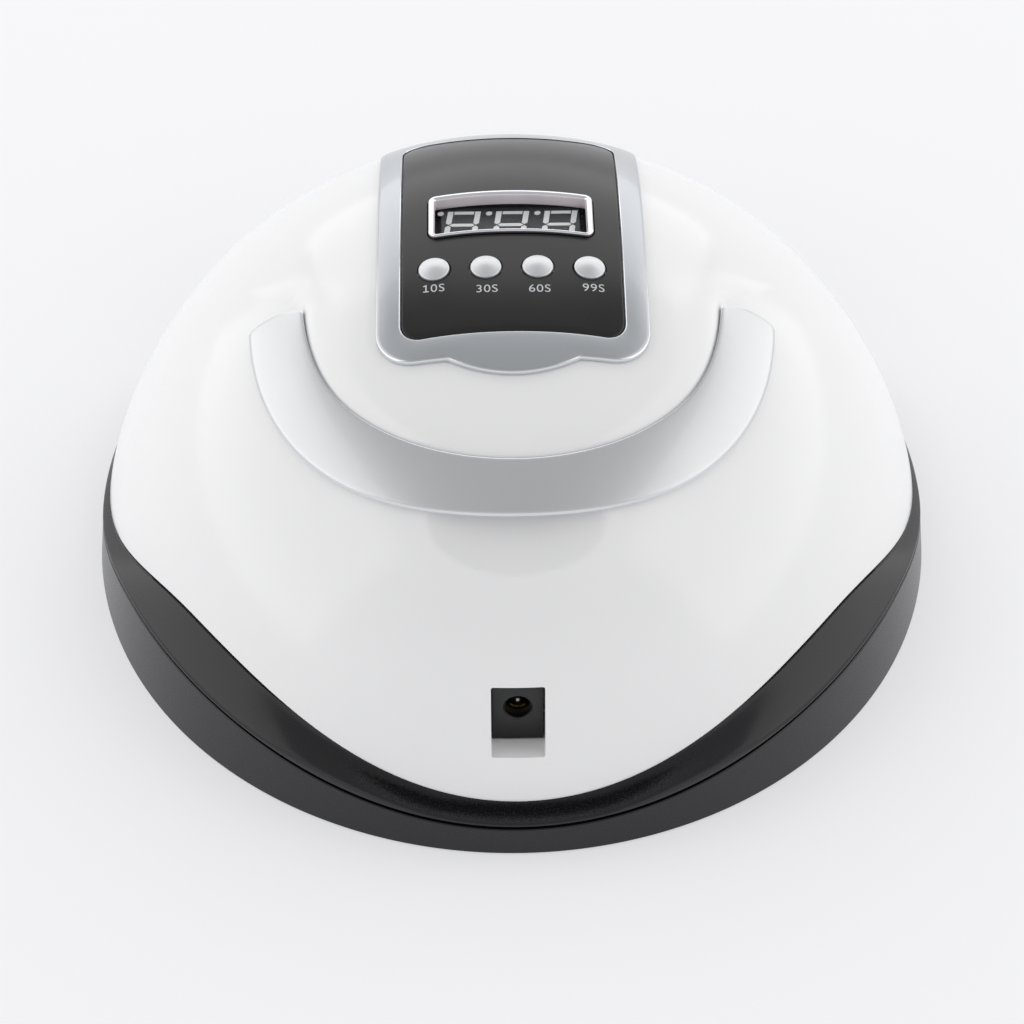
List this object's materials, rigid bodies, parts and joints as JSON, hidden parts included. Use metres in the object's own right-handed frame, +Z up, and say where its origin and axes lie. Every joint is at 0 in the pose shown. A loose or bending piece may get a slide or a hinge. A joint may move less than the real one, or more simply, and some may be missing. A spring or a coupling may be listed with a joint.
{
  "type": "led nail lamp",
  "caption": "Domed table lamp that cures nail gel: white housing on a dark wavy base, with time buttons and a display on top and a hand opening in front.",
  "frame": {"origin": "centre of the round base, on the surface that the lamp stands on", "axes": "+Z up; -Y towards the side with the power socket, +Y towards the side with the hand opening; +X to the right seen from the socket side"},
  "size_m": [0.235, 0.235, 0.1054],
  "materials": {
    "housing_white": "moulded ABS with a high gloss",
    "base_charcoal": "moulded ABS, charcoal, satin",
    "trim_silver": "ABS with a satin silver lacquer",
    "fascia_black": "polished black acrylic",
    "bezel_chrome": "bright chrome plating",
    "lens_smoked": "smoked clear acrylic",
    "plastic_black": "moulded black",
    "button_silver": "metallised plastic, satin silver",
    "board_green": "glass fibre board with green solder mask",
    "board_white": "light board with white solder mask",
    "reflector_silver": "metallised reflecting plastic",
    "steel": "zinc plated",
    "brass": "bright",
    "rubber": "matt black",
    "magnet_nickel": "nickel plated",
    "sleeve_blue": "shrink sleeve"
  },
  "bodies": {
    "tray": {"base_tray": "base_charcoal", "rubber_foot_1": "rubber", "rubber_foot_2": "rubber", "rubber_foot_3": "rubber", "rubber_foot_4": "rubber", "catch_plate_1": "steel", "catch_plate_2": "steel", "catch_plate_3": "steel", "catch_plate_4": "steel"},
    "lamp": {"top_shell": "housing_white", "lower_skirt": "base_charcoal", "base_rim": "base_charcoal", "handle_trim": "trim_silver", "panel_frame": "trim_silver", "control_fascia": "fascia_black", "display_bezel": "bezel_chrome", "display_lens": "lens_smoked", "display_module": "plastic_black", "control_board": "board_green", "board_screw_1": "steel", "board_screw_2": "steel", "board_screw_3": "steel", "board_screw_4": "steel", "switch_10s": "plastic_black", "switch_30s": "plastic_black", "switch_60s": "plastic_black", "switch_99s": "plastic_black", "socket_plate": "plastic_black", "socket_body": "plastic_black", "socket_pin": "steel", "socket_contact": "brass", "driver_board": "board_green", "driver_capacitor": "sleeve_blue", "driver_choke": "brass", "inner_reflector": "reflector_silver", "mouth_trim": "housing_white", "hand_sensor_left": "fascia_black", "hand_sensor_right": "fascia_black", "led_strip_lower": "board_white", "led_strip_upper": "board_white", "led_strip_top": "board_white", "magnet_1": "magnet_nickel", "magnet_2": "magnet_nickel", "magnet_3": "magnet_nickel", "magnet_4": "magnet_nickel", "base_screw_1": "steel", "base_screw_2": "steel", "base_screw_3": "steel", "base_screw_4": "steel"},
    "press_10s": {"button_10s": "button_silver", "plunger_10s": "plastic_black"},
    "press_30s": {"button_30s": "button_silver", "plunger_30s": "plastic_black"},
    "press_60s": {"button_60s": "button_silver", "plunger_60s": "plastic_black"},
    "press_99s": {"button_99s": "button_silver", "plunger_99s": "plastic_black"}
  },
  "joints": [
    {"name": "lift_off", "type": "slide", "parent": "tray", "child": "lamp", "axis": [0, 0, 1], "range_m": [0, 0.12]},
    {"name": "push_10s", "type": "slide", "parent": "lamp", "child": "press_10s", "axis": [0, 0, -1], "range_m": [0, 0.0005], "stiffness_N_per_m": 2400},
    {"name": "push_30s", "type": "slide", "parent": "lamp", "child": "press_30s", "axis": [0, 0, -1], "range_m": [0, 0.0005], "stiffness_N_per_m": 2400},
    {"name": "push_60s", "type": "slide", "parent": "lamp", "child": "press_60s", "axis": [0, 0, -1], "range_m": [0, 0.0005], "stiffness_N_per_m": 2400},
    {"name": "push_99s", "type": "slide", "parent": "lamp", "child": "press_99s", "axis": [0, 0, -1], "range_m": [0, 0.0005], "stiffness_N_per_m": 2400}
  ]
}
